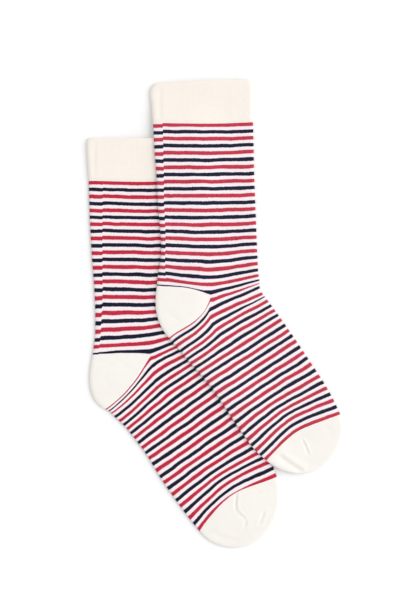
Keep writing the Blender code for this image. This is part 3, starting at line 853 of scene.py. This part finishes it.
def pocket_side(sock, lines, turn, count, inside):
    """The points of a pocket's outer or inner side, with their stitch counts."""
    first, last = lines
    outline = turn_curve(first[-1], turn, last[-1], count)
    if inside:
        inward = first[0] - outline
        inward /= np.linalg.norm(inward, axis=1)[:, None]
        ends = np.linspace(-1, 1, count)[:, None]
        outline = outline + CLOTH_WALL * (1 - ends**END_POWER) * inward
    plan = pocket_rays(first, last, outline)
    run = np.array([distances_along(ray) for ray in plan])
    from_seam = np.minimum(np.linalg.norm(plan - first, axis=2), np.linalg.norm(plan - last, axis=2))
    from_seam += 2 * STEP_LENGTH * (1 - ease(run / run[:, -1:] / KNEE_FADE))
    path = np.concatenate((np.arange(HALF_COLUMNS + 1), np.arange(HALF_COLUMNS - 1, -1, -1)))
    side = np.where(np.arange(len(path)) <= HALF_COLUMNS, 1.0, -1.0)
    from_fold = run[:, -1:] - run
    points = cloth_points(sock, plan[:, path], from_fold[:, path], from_seam[:, path], side,
                          CLOTH_WALL, inside)
    half = np.linspace(0, 1, count)
    ways = [line[-1] - line[0] for line in lines]
    wedge = np.arccos(np.clip(np.dot(*ways) / np.prod(np.linalg.norm(ways, axis=1)), -1, 1))
    angle = (wedge * np.minimum(half, 1 - half))[:, None]
    numbers = dict(wale=(run * np.cos(angle) / STITCH_WIDTH)[:, path],
                   row=(run * np.sin(angle) / STITCH_LENGTH)[:, path])
    return points, numbers


def pocket(sock, part, turn, lines_at):
    """A heel or toe: a closed wall with its fan outside and inside."""
    cloth = Cloth()
    first, last = lines_at(sock, 0.0)
    outline = turn_curve(first[-1], turn, last[-1], TRIAL_POINTS)
    rays = int(distances_along(outline)[-1] / RAY_SPACING)
    grids = []
    for inside in (False, True):
        count = rays // INNER_RAYS if inside else rays
        lines = lines_at(sock, CLOTH_WALL if inside else 0.0)
        area = (0.01, 0.01, 0.99, 0.10) if inside else (0.01, 0.16, 0.99, 0.99)
        grids.append(cloth.grid(*pocket_side(sock, lines, turn, count, inside), area))
    outer, inner = grids
    for edge, bottom in ((0, 0.11), (-1, 0.135)):
        cloth.join(outer[edge], inner[edge], (0.01, bottom, 0.99, bottom + 0.015))
    return cloth.make(f"{sock['name']}_{part}_knit")


def heel_lines(sock, inset):
    """From the knee to the folds: the leg's last line and the foot's first."""
    return [sock_halves(sock, part, HEEL_GAP, inset)[0][::-1] for part in ("leg", "foot")]


def toe_lines(sock, inset):
    """From the knee to the folds of the foot's last line: the instep side, then the sole side."""
    back, front = sock_halves(sock, "foot", FOOT_END, inset)
    return [front[::-1], back[::-1]]


# %% [markdown]
# ## The cuff
# The cuff is a welt: a band knitted twice as long as it looks and folded in half, so its rim is a soft
# round fold and each side of it is thick. It is made like the tube, with extra rows that roll the rim
# over into the mouth. The two lips part a little, as a sock's mouth does when nothing holds it shut.

# %% Cuff rows and rolled rim
CUFF_ROWS = 34
RIM_ROWS = 7
RIM_STITCHES = 0.5   # rows of knitting to one mesh row round the rim
MOUTH_ROWS = 12
MOUTH_CROWD = 1.6    # above 1, the inner rows crowd towards the mouth
LIP_RISE = 0.9       # how far the upper lip stands off at the middle of the mouth
LIP_REACH = 1.7      # stripes down which it settles
WELT_EASE = 0.5      # stripes over which the thick cuff thins to the leg


def cuff_walls(courses):
    """The cuff's thickness, thinning to the leg's at its lower end."""
    return CLOTH_WALL + (CUFF_WALL - CLOTH_WALL) * ease((LEG_TOP - courses) / WELT_EASE)


def cuff_side(sock, courses, inside):
    """The points of the cuff's outer or inner side, with its lips parted at the mouth."""
    walls = cuff_walls(courses)
    plan, from_fold, _, share = tube_rows(sock, "cuff", courses, walls, inside)
    from_seam = STEP_LENGTH * np.repeat((LEG_TOP - courses)[:, None], len(ACROSS), axis=1)
    points = cloth_points(sock, plan, from_fold, from_seam, SIDE, walls[:, None], inside)
    open_lip = ease(1 - (courses - CUFF_TOP) / LIP_REACH)[:, None] * np.sin(np.pi * share)**2
    free = sock["free"](plan.reshape(-1, 2)).reshape(share.shape)
    points[..., 2] += LIP_RISE * open_lip * (SIDE > 0) * free
    return points, stitch_numbers(courses, share)


def welted_cuff(sock):
    """The cuff as a closed wall with a rounded rim."""
    cloth = Cloth()
    outer_points, outer_numbers = cuff_side(sock, np.linspace(LEG_TOP, CUFF_TOP, CUFF_ROWS), False)
    down = CUFF_TOP + (LEG_TOP - CUFF_TOP) * np.linspace(0, 1, MOUTH_ROWS)**MOUTH_CROWD
    inner_points, inner_numbers = cuff_side(sock, down, True)
    over_rim = outer_points[-1]
    under_rim = inner_points[0]
    out = over_rim[:, :2] - outer_points[-2][:, :2]
    out /= np.linalg.norm(out, axis=1)[:, None]
    radius = np.linalg.norm(over_rim - under_rim, axis=1)[:, None] / 2
    rows = []
    for turn in np.linspace(0, np.pi, RIM_ROWS + 2)[1:-1]:
        ring = (over_rim + under_rim) / 2 + (over_rim - under_rim) / 2 * np.cos(turn)
        ring[:, :2] += out * radius * np.sin(turn)
        rows.append(ring)
    points = np.concatenate((outer_points, rows, inner_points))
    rim_row = outer_numbers["row"][-1] - np.linspace(1, RIM_ROWS, RIM_ROWS)[:, None] * RIM_STITCHES
    numbers = dict(
        wale=np.concatenate((outer_numbers["wale"], np.repeat(outer_numbers["wale"][-1:], RIM_ROWS, 0),
                             inner_numbers["wale"])),
        row=np.concatenate((outer_numbers["row"], rim_row, inner_numbers["row"])))
    index = cloth.grid(points, numbers, (0.01, 0.05, 0.99, 0.99), closed=True)
    cloth.join(index[0], index[-1], (0.01, 0.01, 0.99, 0.03), closed=True)
    return cloth.make(f"{sock['name']}_cuff_knit")


# %% Make all the pieces
pieces = {}
for sock in (UNDER_SOCK, UPPER_SOCK):
    name = sock["name"]
    pieces[name, "cuff"] = welted_cuff(sock)
    pieces[name, "striped"] = striped_tube(sock)
    pieces[name, "heel"] = pocket(sock, "heel", sock["heel_turn"], heel_lines)
    pieces[name, "toe"] = pocket(sock, "toe", sock["toe_turn"], toe_lines)

# %% [markdown]
# ## Writing shader maths as expressions
# A material is a graph of nodes. Wiring it by hand hides the sum it works out, so a small class wraps a
# node's output and adds a Math node for each operator in an expression.

# %% A socket that can be used in sums
class Wire:
    """A node's output that adds Math nodes as it is used."""

    def __init__(self, finish, socket):
        self.finish = finish
        self.socket = socket

    def math(self, operation, *inputs):
        return self.finish.node("ShaderNodeMath", {"operation": operation}, dict(enumerate(inputs)))

    def __abs__(self):
        return self.math("ABSOLUTE", self)


def add_operator(sign, operation):
    """Lets a sum use an operator with a wire on either side of it."""
    setattr(Wire, f"__{sign}__", lambda wire, other: wire.math(operation, wire, other))
    setattr(Wire, f"__r{sign}__", lambda wire, other: wire.math(operation, other, wire))


for sign, operation in (("add", "ADD"), ("sub", "SUBTRACT"), ("mul", "MULTIPLY"), ("mod", "FLOORED_MODULO")):
    add_operator(sign, operation)


class Finish:
    """A material and its nodes."""

    def __init__(self, name):
        self.material = bpy.data.materials.new(name)
        self.material.use_nodes = True
        self.tree = self.material.node_tree
        self.tree.nodes.clear()

    def node(self, kind, settings=None, inputs=None, output=0):
        """Adds a node: its settings first, then its sockets' values or links."""
        made = self.tree.nodes.new(kind)
        for name, value in (settings or {}).items():
            setattr(made, name, value)
        for socket, value in (inputs or {}).items():
            if isinstance(value, Wire):
                self.tree.links.new(value.socket, made.inputs[socket])
            else:
                made.inputs[socket].default_value = value
        return Wire(self, made.outputs[output]) if made.outputs else None

    def number(self, name):
        """A number kept on the mesh's points."""
        return self.node("ShaderNodeAttribute", {"attribute_name": name}, output="Fac")

    def between(self, value, low, high):
        """A smooth step from 0 at low to 1 at high."""
        return self.node("ShaderNodeMapRange", {"interpolation_type": "SMOOTHSTEP"},
                         {"Value": value, "From Min": low, "From Max": high})

    def mix(self, factor, first, second):
        """A colour between two colours."""
        return self.node("ShaderNodeMix", {"data_type": "RGBA"}, {0: factor, 6: first, 7: second}, 2)

    def noise(self, scale, detail=2.0):
        """A soft random number over the piece's own space."""
        place = self.node("ShaderNodeTexCoord", output="Object")
        return self.node("ShaderNodeTexNoise", {}, {"Vector": place, "Scale": scale, "Detail": detail})


# %% [markdown]
# ## The stitches
# Plain knit shows columns of little Vs. Each V has two slanting legs, so one leg's height is round
# across the leg and round along the stitch, and the Vs nest down the column. The same sum gives the
# bump, paints shade into the colour in the gaps between stitches, and gives the stripes' edges their
# tiny teeth.

# %% Height of a stitch
SLANT = 1.25         # how much further down the cloth a V's tips are than its point, in stitches


def stitch(finish):
    """How high the yarn stands in its stitch, and how far a stitch's slant moves a colour."""
    wale = finish.number("wale")
    row = finish.number("row")
    off_middle = abs(wale % 1.0 - 0.5)
    loop = (row + off_middle * SLANT) % 1.0
    along_leg = loop * (1 - loop) * 4
    across_leg = 1 - (off_middle * 4 - 1) * (off_middle * 4 - 1)
    return along_leg * across_leg, off_middle * SLANT


def colour_of(*parts):
    return (*parts, 1.0)


# %% [markdown]
# ## Two finishes
# Both are matt cotton with a faint nap: high roughness, a little sheen, bumps from the stitches, and
# slow changes of tone so that no area is one flat colour. The cuff, heel and toe are cream all over.
# The tube is near-white with red and navy bands that follow the stripe coordinate.

# %% Shared surface of cotton knit
STITCH_BUMP = 0.00022  # metres
# The *_SHADE colours are the dark ends of the knit's colour mixes: painted shade where the yarn dips between
# stitches, together with darker patches of random tone.
CREAM = colour_of(0.890, 0.832, 0.768)
CREAM_SHADE = colour_of(0.852, 0.790, 0.722)
POCKET = colour_of(0.888, 0.856, 0.815)
POCKET_SHADE = colour_of(0.850, 0.812, 0.765)
WHITE = colour_of(0.885, 0.805, 0.840)
WHITE_SHADE = colour_of(0.82, 0.735, 0.765)
BLUSH = colour_of(0.84, 0.56, 0.62)      # white loops tinted by the red fibres beside them


def knit_surface(finish, colour, yarn, bump_height):
    """Finishes a material as cotton knit of a colour, dull in patches and least on top of the yarn."""
    tone = finish.noise(900.0, 3.0)
    roughness = 0.84 + tone * 0.12 - yarn * 0.04
    bump = finish.node("ShaderNodeBump", {}, {
        "Strength": 0.55, "Distance": STITCH_BUMP, "Height": bump_height})
    shader = finish.node("ShaderNodeBsdfPrincipled", {}, {
        "Base Color": colour, "Roughness": roughness, "Normal": bump,
        "Specular IOR Level": 0.15, "Sheen Weight": 0.06, "Sheen Roughness": 0.5})
    finish.node("ShaderNodeOutputMaterial", {}, {"Surface": shader})
    return finish.material


def plain_knit(name, light, shade, rib):
    """Cream knit: stitches all over, with a fine rib where it is asked for."""
    finish = Finish(name)
    yarn, _ = stitch(finish)
    mottle = finish.noise(260.0) * 0.5 + finish.noise(35.0) * 0.5
    # Darker where the yarn dips between stitches (painted shade) and in random patches of tone (mottle).
    depth = finish.between(yarn * 0.5 + mottle * 0.9, 0.25, 0.85)
    colour = finish.mix(depth, shade, light)
    height = yarn
    if rib:
        pair = finish.number("wale") * 0.5 % 1.0
        ridge = pair * (1 - pair) * 4
        height = yarn * 0.8 + ridge * 0.5
    return knit_surface(finish, colour, yarn, height)


# %% [markdown]
# ## The stripes
# A point's stripe number is its stripe coordinate rounded to the nearest whole: odd is red and even is
# navy. It is coloured where it is closer to that whole number than the band's half width. Behind
# the spiral's step the coordinate is moved before any of this, so both colours move with it.

# %% Striped knit
TEETH = 0.09         # how far stitch tips reach past a band's edge, in steps
TEETH_MIDDLE = 0.3   # the slant at which a stitch neither adds to a band nor takes from it
SLOW_WANDER = 0.26   # how far a band's edges wander over some centimetres, in steps
FINE_WANDER = 0.10   # and over some millimetres
EDGE_BLUR = 0.02
BLUSH_REACH = 0.16   # how far red fibres stray over the white, in steps
BLUSH_SHARE = 0.80


def striped_knit(name, red, navy):
    """White knit with red and navy bands."""
    finish = Finish(name)
    yarn, slant = stitch(finish)
    step = finish.between(finish.number("behind"), -0.5, 0.5)
    wander = (finish.noise(60.0, 1.0) - 0.5) * SLOW_WANDER + (finish.noise(600.0, 1.0) - 0.5) * FINE_WANDER
    teeth = (slant - TEETH_MIDDLE) * TEETH
    place = finish.number("stripe") - finish.number("drop") * step + teeth + wander
    number = finish.node("ShaderNodeMath", {"operation": "ROUND"}, {0: place})
    from_middle = abs(place - number)
    band = finish.number("band")
    mask = 1 - finish.between(from_middle - band, -EDGE_BLUR, EDGE_BLUR)
    is_odd = number % 2.0
    mottle = finish.noise(420.0) * 0.6 + finish.noise(40.0) * 0.4
    # Painted shade where the yarn dips between stitches, mixed with random flecks of darker tone.
    stitch_shade_and_fleck = finish.between(yarn * 0.55 + mottle * 0.8, 0.2, 0.8)
    red_mix = finish.mix(stitch_shade_and_fleck, red[0], red[1])
    navy_mix = finish.mix(stitch_shade_and_fleck, navy[0], navy[1])
    band_colour = finish.mix(is_odd, navy_mix, red_mix)
    near_red = 1 - finish.between(from_middle - band, 0.0, BLUSH_REACH)
    ground = finish.mix(stitch_shade_and_fleck, WHITE_SHADE, WHITE)
    ground = finish.mix(near_red * is_odd * BLUSH_SHARE, ground, BLUSH)
    colour = finish.mix(mask, ground, band_colour)
    return knit_surface(finish, colour, yarn, yarn + mask * 0.25)


# In each pair the first colour is the darker end, used for painted shade in the stitch gaps and for darker
# flecks. The upper sock's pairs are lighter than the under sock's: a lit copy of the same stripes, painted
# light.
UNDER_RED = (colour_of(0.33, 0.006, 0.020), colour_of(0.54, 0.026, 0.056))
UPPER_RED = (colour_of(0.32, 0.011, 0.025), colour_of(0.54, 0.045, 0.077))
UNDER_NAVY = (colour_of(0.0016, 0.0025, 0.008), colour_of(0.007, 0.010, 0.027))
UPPER_NAVY = (colour_of(0.0025, 0.004, 0.011), colour_of(0.011, 0.015, 0.037))

cuff_finish = plain_knit("cream_rib", CREAM_SHADE, CREAM, True)
pocket_finish = plain_knit("cream_plain", POCKET_SHADE, POCKET, False)
finishes = {
    ("under_sock", "striped"): striped_knit("under_stripes", UNDER_RED, UNDER_NAVY),
    ("upper_sock", "striped"): striped_knit("upper_stripes", UPPER_RED, UPPER_NAVY),
}
for (name, part), piece in pieces.items():
    plain = cuff_finish if part == "cuff" else pocket_finish
    piece.data.materials.append(finishes.get((name, part), plain))
all_finishes = (cuff_finish, pocket_finish, *finishes.values())
print("finishes:", ", ".join(finish.name for finish in all_finishes))

# %% [markdown]
# ## Fastening the pieces to the frame
# Every piece rides on the part's one body and stands for its plain solids.

# %% Ride and replace
STANDS_FOR = {"cuff": ("cuff",), "striped": ("leg", "foot"), "heel": ("heel",), "toe": ("toe",)}
for (name, part), piece in pieces.items():
    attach(piece, "root")
    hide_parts(*(f"{name}_{node}" for node in STANDS_FOR[part]))
    name == "upper_sock"

# %% [markdown]
# ## Table, light and camera
# The table is a plain pale plane. A bright sky of soft white light fills the shadows, and one broad
# lamp from the right leaves a thin soft shadow along the left edges. The camera looks straight down
# through a long lens, so that cloth away from the middle isn't seen from the side.

# %% Table top
TABLE_SIZE = 30.0
PALE = colour_of(0.885, 0.885, 0.885)
table_data = bpy.data.meshes.new("floor")
half = TABLE_SIZE / 2
corners = [(-half, -half, 0), (half, -half, 0), (half, half, 0), (-half, half, 0)]
table_data.from_pydata(corners, [], [(0, 1, 2, 3)])
floor = new_object("floor", table_data)
paper = Finish("pale_paper")
paper_shader = paper.node("ShaderNodeBsdfPrincipled", {}, {
    "Base Color": PALE, "Roughness": 0.9, "Specular IOR Level": 0.1})
paper.node("ShaderNodeOutputMaterial", {}, {"Surface": paper_shader})
table_data.materials.append(paper.material)

# %% Light
SKY_STRENGTH = 0.88
LAMP_STRENGTH = 1.72
LAMP_SIZE = np.radians(58)  # the lamp's width as seen from the socks
LAMP_TILT = (np.radians(-8), np.radians(57), 0)  # over to the right and a little towards the cuffs
world = bpy.data.worlds.new("soft_white")
bpy.context.scene.world = world
world.use_nodes = True
sky = world.node_tree.nodes["Background"]
sky.inputs["Color"].default_value = colour_of(1.0, 1.0, 1.0)
sky.inputs["Strength"].default_value = SKY_STRENGTH
lamp_data = bpy.data.lights.new("broad_lamp", "SUN")
lamp_data.energy = LAMP_STRENGTH
lamp_data.angle = LAMP_SIZE
lamp = new_object("broad_lamp", lamp_data)
lamp.rotation_euler = LAMP_TILT

# %% Camera
LENS = 120.0
SENSOR = 36.0
VIEW_HEIGHT = 0.540   # metres of table from the bottom to the top of the view
AIM = (-0.0061, 0.0124)  # the place on the table under the camera, in metres
CLOTH_LEVEL = 0.003
camera_data = bpy.data.cameras.new("straight_down")
camera_data.lens = LENS
camera_data.sensor_width = SENSOR
camera = new_object("straight_down", camera_data)
camera.location = (*AIM, CLOTH_LEVEL + VIEW_HEIGHT * LENS / SENSOR)
bpy.context.scene.camera = camera
bpy.context.scene.view_settings.view_transform = "Standard"
print(f"the camera is {camera.location.z:.2f} m above the table")
